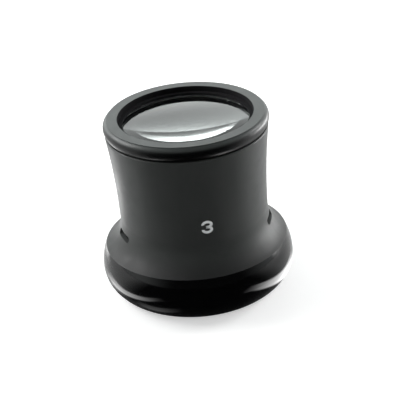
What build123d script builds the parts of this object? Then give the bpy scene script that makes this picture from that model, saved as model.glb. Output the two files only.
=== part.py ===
from build123d import *
import os
from math import cos, pi, radians, sin, sqrt

os.makedirs("parts", exist_ok=True)

# A watchmaker's loupe in millimetres, standing on its eye rim. The origin is the centre of the rest
# face, +Z is the optical axis towards the lens, and -Y is the side that carries the power mark.

# Lens: round, biconvex, with the same curve on both faces
lens_radius = 12.5
lens_edge_height = 2.8
lens_curve_radius = 79.0
lens_edge_chamfer = 0.15

# Eyecup, heights of its outline from the rest face up
rim_height = 5.15
crease_rise = 4.2
flare_rise = 5.65
barrel_top_height = 31.8

# Eyecup, walls and steps of its outline, from the bore outwards
ledge_cover = 0.9
mouth_taper = 1.0
mouth_round = 0.8
foot_width = 2.0
rim_overhang = 3.55
crease_inset = 0.95
waist_wall = 1.83
barrel_top_wall = 1.59
barrel_top_round = 0.2
thread_entry_chamfer = 0.15

# Vents: two slots along the circumference, one on each side of the power mark
vent_length = 5.1
vent_width = 1.15
vent_rise = 3.5
left_vent_angle = -80.5
right_vent_angle = 72.0

# Screw ring: a round bead with a flat top, a recess, and a lip over the rim of the lens
bead_height = 2.6
bead_overhang = 0.18
bead_widest_depth = 1.3
bead_foot_inset = 0.5
flat_inset = 0.75
flat_step = 0.12
recess_inset = 0.05
recess_depth = 1.05
recess_edge_round = 0.12
lip_cover = 0.8
lip_thickness = 0.5
skirt_wall = 0.45

# Thread: right hand, the same ridge on the skirt and, turned inwards, in the eyecup
thread_pitch = 0.6
thread_depth = 0.3
thread_sink = 0.08
ridge_root_share = 0.62
ridge_crest_share = 0.22
skirt_ridge_turns = 2
cup_ridge_turns = 1.75

# Clearances
seam_gap = 0.15
lens_side_clearance = 0.1
lens_lip_clearance = 0.04
lens_ledge_clearance = 0.05
skirt_end_gap = 0.34
skirt_ridge_end_gap = 0.1
thread_clearance = 0.13


# How far a face of the lens falls from its middle to the given radius.
def lens_fall(radius):
    return lens_curve_radius - sqrt(lens_curve_radius**2 - radius**2)


# The profile of one thread ridge, as points across the ridge and out from its root.
def ridge_points():
    root = thread_pitch * ridge_root_share / 2
    crest = thread_pitch * ridge_crest_share / 2
    slope = (root - crest) / thread_depth
    sunk = root + slope * thread_sink
    return [(-thread_sink, -sunk), (-thread_sink, sunk), (thread_depth, crest), (thread_depth, -crest)]


# Heights, worked out from the top of the barrel
ring_bottom = barrel_top_height + seam_gap
ring_top = ring_bottom + bead_height
lip_bottom = ring_top - recess_depth - lip_thickness
lip_radius = lens_radius - lip_cover
ledge_radius = lens_radius - ledge_cover
lens_bulge = lens_fall(lens_radius)
lens_edge_top = lip_bottom - lens_lip_clearance - (lens_bulge - lens_fall(lip_radius))
lens_edge_bottom = lens_edge_top - lens_edge_height
ledge_height = lens_edge_bottom - (lens_bulge - lens_fall(ledge_radius)) - lens_ledge_clearance
skirt_bottom = ledge_height + skirt_end_gap
crease_height = rim_height + crease_rise
waist_height = crease_height + flare_rise
vent_height = crease_height + vent_rise

# Radii at the top, worked out from the lens outwards
skirt_bore_radius = lens_radius + lens_side_clearance
skirt_root_radius = skirt_bore_radius + skirt_wall
cup_thread_radius = skirt_root_radius + thread_depth + thread_clearance
barrel_top_radius = cup_thread_radius + barrel_top_wall
bead_radius = barrel_top_radius + bead_overhang
bead_foot_radius = bead_radius - bead_foot_inset
flat_radius = bead_radius - flat_inset
recess_radius = lens_radius - recess_inset

# Radii of the eyecup, worked out from the tapered bore outwards
mouth_radius = ledge_radius + mouth_taper
waist_bore_radius = mouth_radius - mouth_taper * waist_height / ledge_height
waist_radius = waist_bore_radius + waist_wall
foot_radius = mouth_radius + foot_width
rim_radius = foot_radius + rim_overhang
crease_radius = rim_radius - crease_inset

# The first point of each ridge's middle line: the cup's lies half a pitch under the skirt's
skirt_ridge_start = skirt_bottom + skirt_ridge_end_gap + thread_pitch * ridge_root_share / 2
cup_ridge_start = skirt_ridge_start - thread_pitch / 2


with BuildPart() as eyecup:
    with BuildSketch(Plane.XZ):
        with BuildLine():
            Line((mouth_radius, 0), (foot_radius, 0))
            TangentArc((rim_radius, rim_height), (foot_radius, 0), tangent=(0, -1))
            TangentArc((rim_radius, rim_height), (crease_radius, crease_height), tangent=(0, 1))
            TangentArc((waist_radius, waist_height), (crease_radius, crease_height), tangent=(0, -1))
            TangentArc((waist_radius, waist_height), (barrel_top_radius, barrel_top_height), tangent=(0, 1))
            Polyline(
                (barrel_top_radius, barrel_top_height),
                (cup_thread_radius, barrel_top_height),
                (cup_thread_radius, ledge_height),
                (ledge_radius, ledge_height),
                (mouth_radius, 0),
            )
        profile = make_face()
        mouth_corner = profile.vertices().filter_by_position(Axis.Z, 0, 0).sort_by(Axis.X)[0]
        fillet(mouth_corner, mouth_round)
    revolve(axis=Axis.Z)
    top_edges = eyecup.edges().filter_by(GeomType.CIRCLE).group_by(Axis.Z)[-1].sort_by(SortBy.RADIUS)
    fillet(top_edges[-1], barrel_top_round)
    top_edges = eyecup.edges().filter_by(GeomType.CIRCLE).group_by(Axis.Z)[-1].sort_by(SortBy.RADIUS)
    chamfer(top_edges[0], thread_entry_chamfer)

    for angle in (left_vent_angle, right_vent_angle):
        turn = radians(angle)
        outward = (sin(turn), -cos(turn), 0)
        around = (cos(turn), sin(turn), 0)
        with BuildSketch(Plane(origin=(0, 0, vent_height), x_dir=around, z_dir=outward)):
            SlotOverall(vent_length, vent_width)
        extrude(amount=crease_radius, mode=Mode.SUBTRACT)

    with BuildLine() as cup_helix:
        Helix(
            pitch=thread_pitch,
            height=thread_pitch * cup_ridge_turns,
            radius=cup_thread_radius,
            center=(0, 0, cup_ridge_start),
        )
    start = cup_helix.line @ 0
    with BuildSketch(Plane(origin=start, x_dir=(-1, 0, 0), z_dir=cup_helix.line % 0)):
        with BuildLine():
            Polyline(*ridge_points(), close=True)
        make_face()
    sweep(path=cup_helix.line, is_frenet=True)
eyecup.part.label = "eyecup"
export_step(eyecup.part, "parts/eyecup.step")


with BuildPart() as lens:
    with BuildSketch(Plane.XZ):
        with BuildLine():
            TangentArc((0, lens_edge_top + lens_bulge), (lens_radius, lens_edge_top), tangent=(1, 0))
            Line((lens_radius, lens_edge_top), (lens_radius, lens_edge_bottom))
            TangentArc((0, lens_edge_bottom - lens_bulge), (lens_radius, lens_edge_bottom), tangent=(1, 0))
            Line((0, lens_edge_bottom - lens_bulge), (0, lens_edge_top + lens_bulge))
        make_face()
    revolve(axis=Axis.Z)
    chamfer(lens.edges().filter_by(GeomType.CIRCLE), lens_edge_chamfer)
lens.part.label = "lens"
export_step(lens.part, "parts/lens.step")


with BuildPart() as screw_ring:
    with BuildSketch(Plane.XZ):
        bead_max = (bead_radius, ring_top - bead_widest_depth)
        bead_start = (flat_radius, ring_top - flat_step)
        with BuildLine():
            TangentArc(bead_max, bead_start, tangent=(0, 1))
            TangentArc(bead_max, (bead_foot_radius, ring_bottom), tangent=(0, -1))
            Polyline(
                (bead_foot_radius, ring_bottom),
                (skirt_root_radius, ring_bottom),
                (skirt_root_radius, skirt_bottom),
                (skirt_bore_radius, skirt_bottom),
                (skirt_bore_radius, lip_bottom),
                (lip_radius, lip_bottom),
                (lip_radius, lip_bottom + lip_thickness),
                (recess_radius, lip_bottom + lip_thickness),
                (recess_radius, ring_top),
                (flat_radius, ring_top),
                bead_start,
            )
        make_face()
    revolve(axis=Axis.Z)
    top_edges = screw_ring.edges().filter_by(GeomType.CIRCLE).group_by(Axis.Z)[-1].sort_by(SortBy.RADIUS)
    fillet(top_edges[0], recess_edge_round)

    with BuildLine() as skirt_helix:
        Helix(
            pitch=thread_pitch,
            height=thread_pitch * skirt_ridge_turns,
            radius=skirt_root_radius,
            center=(0, 0, skirt_ridge_start),
        )
    start = skirt_helix.line @ 0
    with BuildSketch(Plane(origin=start, x_dir=(1, 0, 0), z_dir=skirt_helix.line % 0)):
        with BuildLine():
            Polyline(*ridge_points(), close=True)
        make_face()
    sweep(path=skirt_helix.line, is_frenet=True)
screw_ring.part.label = "screw_ring"
export_step(screw_ring.part, "parts/screw_ring.step")


ring_travel = thread_pitch * skirt_ridge_turns
print("ledge height", round(ledge_height, 3), "skirt bottom", round(skirt_bottom, 3))
print("lens from", round(lens_edge_bottom - lens_bulge, 3), "to", round(lens_edge_top + lens_bulge, 3))
print("total height", round(ring_top, 3), "ring travel", round(ring_travel, 4))
print("lift in m for each rad", ring_travel / (2 * pi * skirt_ridge_turns) / 1000)
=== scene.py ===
import bpy
import bmesh
from math import atan2, cos, pi, radians, sin
from mathutils import Matrix, Vector


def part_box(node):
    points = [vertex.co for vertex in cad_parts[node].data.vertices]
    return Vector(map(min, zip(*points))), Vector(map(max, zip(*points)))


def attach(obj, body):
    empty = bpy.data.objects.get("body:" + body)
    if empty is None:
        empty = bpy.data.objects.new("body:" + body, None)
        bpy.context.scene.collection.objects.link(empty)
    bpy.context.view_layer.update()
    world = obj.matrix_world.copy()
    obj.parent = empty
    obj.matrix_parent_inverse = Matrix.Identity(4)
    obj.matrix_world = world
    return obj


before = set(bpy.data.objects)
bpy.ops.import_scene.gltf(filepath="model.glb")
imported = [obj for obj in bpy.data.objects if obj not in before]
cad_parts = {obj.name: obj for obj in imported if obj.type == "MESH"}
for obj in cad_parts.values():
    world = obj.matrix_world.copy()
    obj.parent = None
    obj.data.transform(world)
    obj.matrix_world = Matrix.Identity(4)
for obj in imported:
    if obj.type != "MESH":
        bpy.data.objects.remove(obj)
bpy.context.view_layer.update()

# A watchmaker's loupe that stands on its eye rim, with its optical axis along z and its front at -y.
# Lengths below are in millimetres, angles in degrees and colours in sRGB hex.
mm = 0.001
noiseSpread = (0.3, 0.7)       # nearly all values of a noise texture lie between these


# sRGB hex to the linear colour that a shader takes
def linear(hexColour):
    values = [int(hexColour[i:i + 2], 16) / 255 for i in (0, 2, 4)]
    return [v / 12.92 if v <= 0.04045 else ((v + 0.055) / 1.055) ** 2.4 for v in values] + [1.0]


# Inputs go by name, or by number where a node has several of one name: the A and B of a Mix node are
# 2 and 3 for numbers, and 6 and 7 for colours.
def addNode(tree, kind, settings=None, inputs=None):
    node = tree.nodes.new(kind)
    for name, value in (settings or {}).items():
        setattr(node, name, value)
    for name, value in (inputs or {}).items():
        if isinstance(value, bpy.types.NodeSocket):
            tree.links.new(value, node.inputs[name])
        else:
            node.inputs[name].default_value = value
    return node


def newMaterial(name):
    material = bpy.data.materials.new(name)
    material.use_nodes = True
    material.node_tree.nodes.clear()
    return material, material.node_tree


def finishWith(tree, shader):
    addNode(tree, "ShaderNodeOutputMaterial", inputs={"Surface": shader})


def giveMaterial(piece, material):
    piece.data.materials.clear()
    piece.data.materials.append(material)


# A finished bmesh becomes an object of its own
def addPiece(name, shape):
    mesh = bpy.data.meshes.new(name)
    shape.to_mesh(mesh)
    shape.free()
    piece = bpy.data.objects.new(name, mesh)
    bpy.context.scene.collection.objects.link(piece)
    return piece


# Direction from the loupe outwards: azimuth 0 is the front, and a positive azimuth lies to its right
def outwards(azimuth, elevation=0):
    across = radians(azimuth)
    up = radians(elevation)
    return Vector((sin(across) * cos(up), -cos(across) * cos(up), sin(up)))


# Place on the piece in millimetres
def pointInMm(tree):
    metres = addNode(tree, "ShaderNodeTexCoord").outputs["Object"]
    return addNode(tree, "ShaderNodeVectorMath", {"operation": "SCALE"}, {
        0: metres, "Scale": 1 / mm}).outputs[0]


# Distance of a point from the optical axis: its length with the height left out
def distanceFromAxis(tree, point):
    flat = addNode(tree, "ShaderNodeVectorMath", {"operation": "MULTIPLY"}, {
        0: point, 1: (1, 1, 0)}).outputs[0]
    return addNode(tree, "ShaderNodeVectorMath", {"operation": "LENGTH"}, {0: flat}).outputs["Value"]


# Eyecup: heights above the rest face
cup = {
    "creaseHeight": 9.35,      # from here down the mould was polished
    "creaseBlend": 0.04,
    "boreRadius": 13.7,        # inside this, and above the mouth, the wall is matte
    "mouthHeight": 0.8,
    "polishedColour": "060607",
    "satinColour": "373938",
    "satinPale": "3d3f3e",
    "creaseShadeColour": "1c1d1d",
    "creaseShadeFade": (9.4, 13.0),  # painted shade: the flare is darker from here down towards the crease
    "boreColour": "0b0b0c",
    "grainSize": 0.3,          # the real grain is 0.06 mm, too fine to show
    "grainDetail": 2.0,
    "grainRoughness": 0.6,
    "grainDepth": 0.01,
    "grainStrength": 0.35,
    "flowSize": 7.0,           # pale and dark clouds from the flow of the plastic in the mould
    "flowDetail": 3.0,
    "handlingSize": 2.2,       # patches that fingers have smoothed
    "handlingDetail": 5.0,
    "handlingDistortion": 0.6,
    "barrel": (0.38, 0.46),    # roughness: drawn finer by the mould's opening than the sloped flare
    "flare": (0.5, 0.58),
    "flareBlend": (10.5, 16.5),
    "polish": (0.07, 0.12),
    "boreRoughness": 0.7,
    "ior": 1.47,
    "sheen": 0.15,
    "sheenRoughness": 0.3,
}


# Black ABS, injection moulded. The barrel and flare come from a fine spark-eroded mould, so they are
# satin with a soft broad sheen. The eye rim comes from a polished part of the mould and mirrors.
def mouldedBlackAbs():
    material, tree = newMaterial("mouldedBlackAbs")
    point = pointInMm(tree)
    height = addNode(tree, "ShaderNodeSeparateXYZ", inputs={"Vector": point}).outputs["Z"]
    radius = distanceFromAxis(tree, point)

    satin = addNode(tree, "ShaderNodeMapRange", inputs={
        "Value": height, "From Min": cup["creaseHeight"] - cup["creaseBlend"],
        "From Max": cup["creaseHeight"] + cup["creaseBlend"]}).outputs["Result"]
    inside = addNode(tree, "ShaderNodeMath", {"operation": "LESS_THAN"}, {
        0: radius, 1: cup["boreRadius"]}).outputs[0]
    aboveMouth = addNode(tree, "ShaderNodeMath", {"operation": "GREATER_THAN"}, {
        0: height, 1: cup["mouthHeight"]}).outputs[0]
    bore = addNode(tree, "ShaderNodeMath", {"operation": "MULTIPLY"}, {
        0: inside, 1: aboveMouth}).outputs[0]
    # Painted shade: the lower flare is darker towards the crease
    clearOfCreaseShade = addNode(tree, "ShaderNodeMapRange", {"interpolation_type": "SMOOTHSTEP"}, {
        "Value": height, "From Min": cup["creaseShadeFade"][0],
        "From Max": cup["creaseShadeFade"][1]}).outputs["Result"]
    upright = addNode(tree, "ShaderNodeMapRange", {"interpolation_type": "SMOOTHSTEP"}, {
        "Value": height, "From Min": cup["flareBlend"][0],
        "From Max": cup["flareBlend"][1]}).outputs["Result"]

    grain = addNode(tree, "ShaderNodeTexNoise", inputs={
        "Vector": point, "Scale": 1 / cup["grainSize"], "Detail": cup["grainDetail"],
        "Roughness": cup["grainRoughness"]}).outputs["Fac"]
    flow = addNode(tree, "ShaderNodeTexNoise", inputs={
        "Vector": point, "Scale": 1 / cup["flowSize"], "Detail": cup["flowDetail"]}).outputs["Fac"]
    handled = addNode(tree, "ShaderNodeTexNoise", inputs={
        "Vector": point, "Scale": 1 / cup["handlingSize"], "Detail": cup["handlingDetail"],
        "Distortion": cup["handlingDistortion"]}).outputs["Fac"]

    clouded = addNode(tree, "ShaderNodeMix", {"data_type": "RGBA"}, {
        "Factor": flow, 6: linear(cup["satinColour"]), 7: linear(cup["satinPale"])}).outputs[2]
    satinColour = addNode(tree, "ShaderNodeMix", {"data_type": "RGBA"}, {
        "Factor": clearOfCreaseShade, 6: linear(cup["creaseShadeColour"]), 7: clouded}).outputs[2]
    outerColour = addNode(tree, "ShaderNodeMix", {"data_type": "RGBA"}, {
        "Factor": satin, 6: linear(cup["polishedColour"]), 7: satinColour}).outputs[2]
    colour = addNode(tree, "ShaderNodeMix", {"data_type": "RGBA"}, {
        "Factor": bore, 6: outerColour, 7: linear(cup["boreColour"])}).outputs[2]

    worn = {}
    for area in ("barrel", "flare", "polish"):
        worn[area] = addNode(tree, "ShaderNodeMapRange", inputs={
            "Value": handled, "From Min": noiseSpread[0], "From Max": noiseSpread[1],
            "To Min": cup[area][0], "To Max": cup[area][1]}).outputs["Result"]
    satinRough = addNode(tree, "ShaderNodeMix", {"data_type": "FLOAT"}, {
        "Factor": upright, 2: worn["flare"], 3: worn["barrel"]}).outputs[0]
    outerRough = addNode(tree, "ShaderNodeMix", {"data_type": "FLOAT"}, {
        "Factor": satin, 2: worn["polish"], 3: satinRough}).outputs[0]
    rough = addNode(tree, "ShaderNodeMix", {"data_type": "FLOAT"}, {
        "Factor": bore, 2: outerRough, 3: cup["boreRoughness"]}).outputs[0]

    pitted = addNode(tree, "ShaderNodeMath", {"operation": "MULTIPLY"}, {0: satin, 1: grain}).outputs[0]
    relief = addNode(tree, "ShaderNodeBump", inputs={
        "Height": pitted, "Strength": cup["grainStrength"],
        "Distance": cup["grainDepth"] * mm}).outputs["Normal"]
    shader = addNode(tree, "ShaderNodeBsdfPrincipled", inputs={
        "Base Color": colour, "Roughness": rough, "IOR": cup["ior"], "Sheen Weight": cup["sheen"],
        "Sheen Roughness": cup["sheenRoughness"], "Normal": relief}).outputs[0]
    finishWith(tree, shader)
    return material


# Screw ring
ring = {
    "shoulderSheen": (0.1, 1.0),    # depths under the ring's top over which the facing cut runs out; its grey on the bead's shoulder is a painted soft reflection
    "recessRadius": 12.54,
    "colour": "08090a",
    "flatColour": "444847",
    "flatPale": "4e5251",
    # painted shade: the wall of the recess over the lens is drawn dark violet-black
    "recessShadeColour": "06040a",
    "turningPitch": 0.28,      # the real grooves are 0.08 mm apart, too fine to show
    "grooveDepth": 0.006,
    "grooveStrength": 0.5,
    "wearSize": 2.5,
    "wearDetail": 5.0,
    "wearDistortion": 0.4,
    "turned": (0.36, 0.46),    # roughness of the flat face
    "polish": (0.3, 0.38),     # roughness of the bead
    "recessRoughness": 0.95,
    "ior": 1.47,
}


# Black plastic, turned on a lathe. The bead is buffed to a soft gloss. The flat face is left from a
# fine facing cut: matte, greyer than the bead, with grooves round the axis. The cut runs out over the
# top of the bead's shoulder, where its grey is a painted soft reflection, so the one runs into the other.
def turnedBlackPlastic(ringTop):
    material, tree = newMaterial("turnedBlackPlastic")
    point = pointInMm(tree)
    height = addNode(tree, "ShaderNodeSeparateXYZ", inputs={"Vector": point}).outputs["Z"]
    radius = distanceFromAxis(tree, point)

    # Painted soft reflection: the face's grey runs out over the top of the bead's shoulder
    facingAndSheen = addNode(tree, "ShaderNodeMapRange", {"interpolation_type": "SMOOTHSTEP"}, {
        "Value": height, "From Min": ringTop / mm - ring["shoulderSheen"][1],
        "From Max": ringTop / mm - ring["shoulderSheen"][0]}).outputs["Result"]
    recess = addNode(tree, "ShaderNodeMath", {"operation": "LESS_THAN"}, {
        0: radius, 1: ring["recessRadius"]}).outputs[0]
    wear = addNode(tree, "ShaderNodeTexNoise", inputs={
        "Vector": point, "Scale": 1 / ring["wearSize"], "Detail": ring["wearDetail"],
        "Distortion": ring["wearDistortion"]}).outputs["Fac"]

    flatColour = addNode(tree, "ShaderNodeMix", {"data_type": "RGBA"}, {
        "Factor": wear, 6: linear(ring["flatColour"]), 7: linear(ring["flatPale"])}).outputs[2]
    outerColour = addNode(tree, "ShaderNodeMix", {"data_type": "RGBA"}, {
        "Factor": facingAndSheen, 6: linear(ring["colour"]), 7: flatColour}).outputs[2]
    # Painted shade in the recess
    colour = addNode(tree, "ShaderNodeMix", {"data_type": "RGBA"}, {
        "Factor": recess, 6: outerColour, 7: linear(ring["recessShadeColour"])}).outputs[2]

    worn = {}
    for area in ("polish", "turned"):
        worn[area] = addNode(tree, "ShaderNodeMapRange", inputs={
            "Value": wear, "From Min": noiseSpread[0], "From Max": noiseSpread[1],
            "To Min": ring[area][0], "To Max": ring[area][1]}).outputs["Result"]
    outerRough = addNode(tree, "ShaderNodeMix", {"data_type": "FLOAT"}, {
        "Factor": facingAndSheen, 2: worn["polish"], 3: worn["turned"]}).outputs[0]
    rough = addNode(tree, "ShaderNodeMix", {"data_type": "FLOAT"}, {
        "Factor": recess, 2: outerRough, 3: ring["recessRoughness"]}).outputs[0]

    phase = addNode(tree, "ShaderNodeMath", {"operation": "MULTIPLY"}, {
        0: radius, 1: 2 * pi / ring["turningPitch"]}).outputs[0]
    grooves = addNode(tree, "ShaderNodeMath", {"operation": "SINE"}, {0: phase}).outputs[0]
    cut = addNode(tree, "ShaderNodeMath", {"operation": "MULTIPLY"}, {0: facingAndSheen, 1: grooves}).outputs[0]
    relief = addNode(tree, "ShaderNodeBump", inputs={
        "Height": cut, "Strength": ring["grooveStrength"],
        "Distance": ring["grooveDepth"] * mm}).outputs["Normal"]
    shader = addNode(tree, "ShaderNodeBsdfPrincipled", inputs={
        "Base Color": colour, "Roughness": rough, "IOR": ring["ior"], "Normal": relief}).outputs[0]
    finishWith(tree, shader)
    return material


lensGlass = {
    "edgeRadius": 12.36,       # outside this the glass is only ground
    "colour": "f4f8f7",
    "ior": 1.52,
    "groundRoughness": 0.5,
}


# Crown glass, ground and polished to two clear faces. The edge is only ground, so it looks frosted.
def crownGlass():
    material, tree = newMaterial("crownGlass")
    edge = addNode(tree, "ShaderNodeMath", {"operation": "GREATER_THAN"}, {
        0: distanceFromAxis(tree, pointInMm(tree)), 1: lensGlass["edgeRadius"]}).outputs[0]
    rough = addNode(tree, "ShaderNodeMath", {"operation": "MULTIPLY"}, {
        0: edge, 1: lensGlass["groundRoughness"]}).outputs[0]
    shader = addNode(tree, "ShaderNodeBsdfPrincipled", inputs={
        "Base Color": linear(lensGlass["colour"]), "Roughness": rough, "IOR": lensGlass["ior"],
        "Transmission Weight": 1.0}).outputs[0]
    finishWith(tree, shader)
    return material


giveMaterial(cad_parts["eyecup"], mouldedBlackAbs())
giveMaterial(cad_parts["screw_ring"], turnedBlackPlastic(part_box("screw_ring")[1].z))
giveMaterial(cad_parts["lens"], crownGlass())
print("materials done")


# Power mark: the numeral 3, printed on the barrel
numeral = {
    "height": 2.6,
    "width": 2.08,
    "stroke": 0.52,
    "bar": 0.24,               # how far the middle bar runs to the left of the bowls' middles
    "bowlSweep": 277,
    "middleHeight": 18.1,
    "thickness": 0.02,         # of the ink: the mark is one open sheet this far off the barrel
    "steps": 22,
    "colour": "fafafb",
    "thinColour": "eeeff1",
    "filmSize": 0.25,
    "filmDetail": 3.0,
    "filmDepth": 0.01,
    "filmStrength": 0.3,
    "roughness": 0.45,
}

# Outline of the barrel that the mark is printed on: one arc, upright at the waist
barrel = {
    "waistHeight": 15.0,
    "waistRadius": 13.924,
    "topHeight": 31.8,
    "topRadius": 15.07,
}


def barrelRadius(height):
    rise = barrel["topHeight"] - barrel["waistHeight"]
    reach = barrel["topRadius"] - barrel["waistRadius"]
    arc = (rise ** 2 + reach ** 2) / (2 * reach)
    return barrel["waistRadius"] + arc - (arc ** 2 - (height - barrel["waistHeight"]) ** 2) ** 0.5


# Pad-printed enamel ink: a near-white film, slightly raised and matte, a bit greyer where it's thin
def padPrintInk():
    material, tree = newMaterial("padPrintInk")
    film = addNode(tree, "ShaderNodeTexNoise", inputs={
        "Vector": pointInMm(tree), "Scale": 1 / numeral["filmSize"],
        "Detail": numeral["filmDetail"]}).outputs["Fac"]
    colour = addNode(tree, "ShaderNodeMix", {"data_type": "RGBA"}, {
        "Factor": film, 6: linear(numeral["colour"]), 7: linear(numeral["thinColour"])}).outputs[2]
    relief = addNode(tree, "ShaderNodeBump", inputs={
        "Height": film, "Strength": numeral["filmStrength"],
        "Distance": numeral["filmDepth"] * mm}).outputs["Normal"]
    shader = addNode(tree, "ShaderNodeBsdfPrincipled", inputs={
        "Base Color": colour, "Roughness": numeral["roughness"], "Normal": relief}).outputs[0]
    finishWith(tree, shader)
    return material


# Each bowl of the 3 is a stroke spun round its middle. Both start in the short bar between them,
# where they overlap, and they aren't joined.
def makeNumeral():
    stroke = numeral["stroke"]
    halfHeight = numeral["height"] / 2
    halfWidth = numeral["width"] / 2
    bowl = (halfHeight + stroke / 2) / 2
    shape = bmesh.new()
    for side in (1, -1):
        ends = [shape.verts.new((0, -side * radius, 0)) for radius in (bowl - stroke, bowl)]
        edge = shape.edges.new(ends)
        bmesh.ops.spin(shape, geom=ends + [edge], cent=(0, 0, 0), axis=(0, 0, side),
                       angle=radians(numeral["bowlSweep"]), steps=numeral["steps"], use_merge=False)
        bar = bmesh.ops.extrude_edge_only(shape, edges=[edge])["geom"]
        barEnds = [v for v in bar if isinstance(v, bmesh.types.BMVert)]
        bmesh.ops.translate(shape, verts=barEnds, vec=(-numeral["bar"], 0, 0))
        # The round bowl is widened to the numeral's width, and its stroke stays as thick
        for v in [v for v in shape.verts if not v.tag]:
            if v not in barEnds:
                fromMiddle = v.co.length
                v.co.x *= (halfWidth - stroke + max(fromMiddle - bowl + stroke, 0)) / fromMiddle
            v.co.y += side * (halfHeight - bowl)
            v.tag = True
    bmesh.ops.recalc_face_normals(shape, faces=shape.faces)
    for v in shape.verts:
        height = v.co.y + numeral["middleHeight"]
        radius = barrelRadius(height) + numeral["thickness"]
        turn = v.co.x / radius
        v.co = Vector((radius * sin(turn), -radius * cos(turn), height)) * mm
    piece = addPiece("power_mark", shape)
    giveMaterial(piece, padPrintInk())
    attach(piece, "cup")


makeNumeral()
print("power mark done")


floor = {
    "size": 3000.0,
    "colour": "ececec",
    "lift": 0.52,              # background white that only the camera, glossy and clear surfaces see
}


def makeFloor():
    shape = bmesh.new()
    bmesh.ops.create_grid(shape, x_segments=1, y_segments=1, size=floor["size"] * mm / 2)
    piece = addPiece("floor", shape)
    material, tree = newMaterial("whitePaper")
    paper = addNode(tree, "ShaderNodeBsdfDiffuse", inputs={"Color": linear(floor["colour"])}).outputs[0]
    rays = addNode(tree, "ShaderNodeLightPath")
    seen = addNode(tree, "ShaderNodeMath", {"operation": "MAXIMUM"}, {
        0: rays.outputs["Is Camera Ray"], 1: rays.outputs["Is Glossy Ray"]}).outputs[0]
    seen = addNode(tree, "ShaderNodeMath", {"operation": "MAXIMUM"}, {
        0: seen, 1: rays.outputs["Is Transmission Ray"]}).outputs[0]
    strength = addNode(tree, "ShaderNodeMath", {"operation": "MULTIPLY"}, {
        0: seen, 1: floor["lift"]}).outputs[0]
    white = addNode(tree, "ShaderNodeEmission", inputs={"Strength": strength}).outputs[0]
    shader = addNode(tree, "ShaderNodeAddShader", inputs={0: paper, 1: white}).outputs[0]
    finishWith(tree, shader)
    giveMaterial(piece, material)


makeFloor()
print("floor done")


# Black card that lies on the floor in front and darkens what the gloss mirrors there, as in the
# photo. Only glossy rays see it.
flag = {
    "size": 3000.0,
    "lift": 0.1,
    "azimuth": -8.4,           # the direction that it lies in
    "fade": (54, 84),          # how far to each side of that it begins and ends to thin out
    "sides": 0.4,              # how dense it stays to the sides and behind, where 1 is black
    "underRim": (18.5, 19.5),  # inside this it is black all round, as the shade under the eye rim is
    "colour": "030303",
}


def makeFlag():
    shape = bmesh.new()
    bmesh.ops.create_grid(shape, x_segments=1, y_segments=1, size=flag["size"] * mm / 2)
    bmesh.ops.translate(shape, verts=shape.verts, vec=(0, 0, flag["lift"] * mm))
    piece = addPiece("flag", shape)
    for ray in ("camera", "diffuse", "transmission", "shadow", "volume_scatter"):
        setattr(piece, "visible_" + ray, False)
    material, tree = newMaterial("blackVelvet")
    place = addNode(tree, "ShaderNodeTexCoord").outputs["Object"]
    outward = addNode(tree, "ShaderNodeVectorMath", {"operation": "NORMALIZE"}, {0: place}).outputs[0]
    facing = addNode(tree, "ShaderNodeVectorMath", {"operation": "DOT_PRODUCT"}, {
        0: outward, 1: outwards(flag["azimuth"])}).outputs["Value"]
    near, far = flag["fade"]
    ahead = addNode(tree, "ShaderNodeMapRange", {"interpolation_type": "SMOOTHSTEP"}, {
        "Value": facing, "From Min": cos(radians(far)), "From Max": cos(radians(near)),
        "To Min": flag["sides"]}).outputs["Result"]
    distance = addNode(tree, "ShaderNodeVectorMath", {"operation": "LENGTH"}, {0: place}).outputs["Value"]
    inner, outer = flag["underRim"]
    under = addNode(tree, "ShaderNodeMapRange", inputs={
        "Value": distance, "From Min": outer * mm, "From Max": inner * mm}).outputs["Result"]
    cover = addNode(tree, "ShaderNodeMath", {"operation": "MAXIMUM"}, {0: ahead, 1: under}).outputs[0]
    velvet = addNode(tree, "ShaderNodeBsdfDiffuse", inputs={"Color": linear(flag["colour"])}).outputs[0]
    clear = addNode(tree, "ShaderNodeBsdfTransparent").outputs[0]
    shader = addNode(tree, "ShaderNodeMixShader", inputs={0: cover, 1: clear, 2: velvet}).outputs[0]
    finishWith(tree, shader)
    giveMaterial(piece, material)


makeFlag()
print("black card done")


# Softboxes, turned to the loupe's middle. A level is the radiance of the lamp's face, where 1 is
# white. softEdge has the shares of its half width and half height over which a lamp fades out.
softboxes = {
    "left": {"azimuth": -118, "elevation": 35, "size": (400, 270), "distance": 400, "level": 8.4},
    "right": {"azimuth": 104, "elevation": 28, "size": (240, 110), "distance": 400, "level": 15.0},
    "low": {"azimuth": 108, "elevation": 3, "size": (150, 50), "distance": 150, "level": 14.0},
}
softboxAim = 17.0
softboxEdge = (0.7, 0.7)

# Reflector cards that lie on the floor and face up, for the streaks on the eye rim
cards = {
    "right": {"middle": (18.4, -11.6), "turn": -14, "size": (8.5, 32), "level": 5.5, "softEdge": (0.35, 0.9)},
    "left": {"middle": (-21.6, -6.6), "turn": 13, "size": (6, 33), "level": 3.2, "softEdge": (0.35, 0.9)},
    "foot": {"middle": (-12.2, -13.6), "turn": 48, "size": (3, 14), "level": 0.45, "softEdge": (0.6, 0.9)},
    "farLeft": {"middle": (-33, 38), "turn": 25, "size": (30, 44), "level": 3.0, "softEdge": (0.9, 0.9)},
}
cardLift = 0.2


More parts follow.
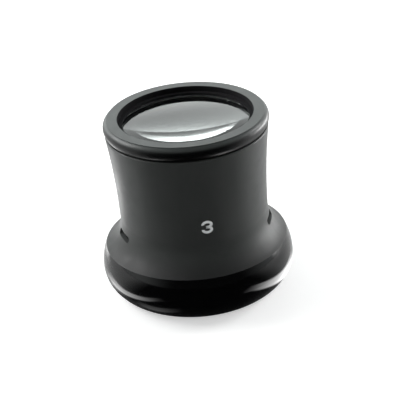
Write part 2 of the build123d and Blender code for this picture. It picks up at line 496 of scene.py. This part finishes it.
def addLamp(name, size, level, softEdge, place):
    lamp = bpy.data.lights.new(name, "AREA")
    lamp.shape = "RECTANGLE"
    lamp.size = size[0] * mm
    lamp.size_y = size[1] * mm
    lamp.energy = level * pi * lamp.size * lamp.size_y
    lamp.use_nodes = True
    tree = lamp.node_tree
    tree.nodes.clear()
    across = addNode(tree, "ShaderNodeNewGeometry").outputs["Parametric"]
    split = addNode(tree, "ShaderNodeSeparateXYZ", inputs={"Vector": across})
    middle = 0.5
    inner = []
    for axis, edge in zip(("X", "Y"), softEdge):
        off = addNode(tree, "ShaderNodeMath", {"operation": "SUBTRACT"}, {
            0: split.outputs[axis], 1: middle}).outputs[0]
        off = addNode(tree, "ShaderNodeMath", {"operation": "ABSOLUTE"}, {0: off}).outputs[0]
        inner.append(addNode(tree, "ShaderNodeMapRange", {"interpolation_type": "SMOOTHSTEP"}, {
            "Value": off, "From Min": middle, "From Max": middle - edge * middle}).outputs["Result"])
    strength = addNode(tree, "ShaderNodeMath", {"operation": "MULTIPLY"}, {
        0: inner[0], 1: inner[1]}).outputs[0]
    glow = addNode(tree, "ShaderNodeEmission", inputs={"Strength": strength}).outputs[0]
    addNode(tree, "ShaderNodeOutputLight", inputs={"Surface": glow})
    piece = bpy.data.objects.new(name, lamp)
    piece.matrix_world = place
    piece.visible_camera = False
    bpy.context.scene.collection.objects.link(piece)


def makeLamps():
    for name, box in softboxes.items():
        away = outwards(box["azimuth"], box["elevation"])
        facing = away.to_track_quat("Z", "Y").to_matrix().to_4x4()
        place = Matrix.Translation(away * box["distance"] * mm + Vector((0, 0, softboxAim * mm))) @ facing
        addLamp(name + "Softbox", box["size"], box["level"], softboxEdge, place)
    for name, card in cards.items():
        place = Matrix.Translation(Vector((*card["middle"], cardLift)) * mm)
        place = place @ Matrix.Rotation(radians(card["turn"]), 4, "Z") @ Matrix.Rotation(pi, 4, "X")
        addLamp(name + "Card", card["size"], card["level"], card["softEdge"], place)


makeLamps()
print("lamps done")


# World: radiance by direction, where 1 is white. A ramp has the axis of the direction, the two places
# on it, from -1 to 1, between which the light changes, and its two values. y runs from the front to
# the back, and z up.
world = {
    "colour": "fafffe",
    "ramps": {
        "around": ("Y", (-0.8, -0.05), (0.02, 0.8)),   # from the dark front to the sides
        "behind": ("Y", (0.6, 0.9), (0.0, 1.55)),      # added to that towards the back
        "above": ("Z", (0.1, 0.5), (1.0, 0.15)),       # the share that is left of the first, going up
        "ahead": ("Y", (0.25, -0.1), (0.0, 0.45)),     # a pale band high up over the front
        "bandStart": ("Z", (0.4, 0.58), (0.0, 1.0)),
        "bandEnd": ("Z", (0.95, 0.7), (0.0, 1.0)),
    },
}


def makeWorld():
    sky = bpy.data.worlds.new("studio")
    bpy.context.scene.world = sky
    sky.use_nodes = True
    tree = sky.node_tree
    tree.nodes.clear()
    direction = addNode(tree, "ShaderNodeTexCoord").outputs["Generated"]
    split = addNode(tree, "ShaderNodeSeparateXYZ", inputs={"Vector": direction})
    ramp = {}
    for name, (axis, places, levels) in world["ramps"].items():
        ramp[name] = addNode(tree, "ShaderNodeMapRange", {"interpolation_type": "SMOOTHSTEP"}, {
            "Value": split.outputs[axis], "From Min": places[0], "From Max": places[1],
            "To Min": levels[0], "To Max": levels[1]}).outputs["Result"]
    level = addNode(tree, "ShaderNodeMath", {"operation": "MULTIPLY"}, {
        0: ramp["around"], 1: ramp["above"]}).outputs[0]
    level = addNode(tree, "ShaderNodeMath", {"operation": "ADD"}, {
        0: level, 1: ramp["behind"]}).outputs[0]
    band = addNode(tree, "ShaderNodeMath", {"operation": "MULTIPLY"}, {
        0: ramp["bandStart"], 1: ramp["bandEnd"]}).outputs[0]
    level = addNode(tree, "ShaderNodeMath", {"operation": "MULTIPLY_ADD"}, {
        0: band, 1: ramp["ahead"], 2: level}).outputs[0]
    back = addNode(tree, "ShaderNodeBackground", inputs={
        "Color": linear(world["colour"]), "Strength": level}).outputs[0]
    addNode(tree, "ShaderNodeOutputWorld", inputs={"Surface": back})


makeWorld()
bpy.context.scene.view_settings.view_transform = "Standard"
print("world done")


# Camera: it looks at a point on the axis, and is then turned so that this lies off the frame's middle
camera = {
    "aimHeight": 16.0,
    "distance": 260.0,
    "azimuth": -8.4,
    "elevation": 27.6,
    "roll": -5.36,
    "aimRight": 1.22,
    "aimUp": 0.55,
    "lens": 124.2,
    "nearest": 10.0,           # nothing closer than this is drawn
}


def makeCamera():
    away = outwards(camera["azimuth"], camera["elevation"])
    azimuth = radians(camera["azimuth"])
    right = Vector((cos(azimuth), sin(azimuth), 0))
    basis = Matrix((right, away.cross(right), away)).transposed().to_4x4()
    eye = Vector((0, 0, camera["aimHeight"] * mm)) + away * camera["distance"] * mm
    roll = Matrix.Rotation(radians(camera["roll"]), 4, "Z")
    pan = Matrix.Rotation(-atan2(camera["aimRight"], camera["distance"]), 4, "Y")
    tilt = Matrix.Rotation(atan2(camera["aimUp"], camera["distance"]), 4, "X")
    data = bpy.data.cameras.new("camera")
    data.lens = camera["lens"]
    data.clip_start = camera["nearest"] * mm
    piece = bpy.data.objects.new("camera", data)
    piece.matrix_world = Matrix.Translation(eye) @ basis @ roll @ pan @ tilt
    bpy.context.scene.collection.objects.link(piece)
    bpy.context.scene.camera = piece


makeCamera()
print("camera done")
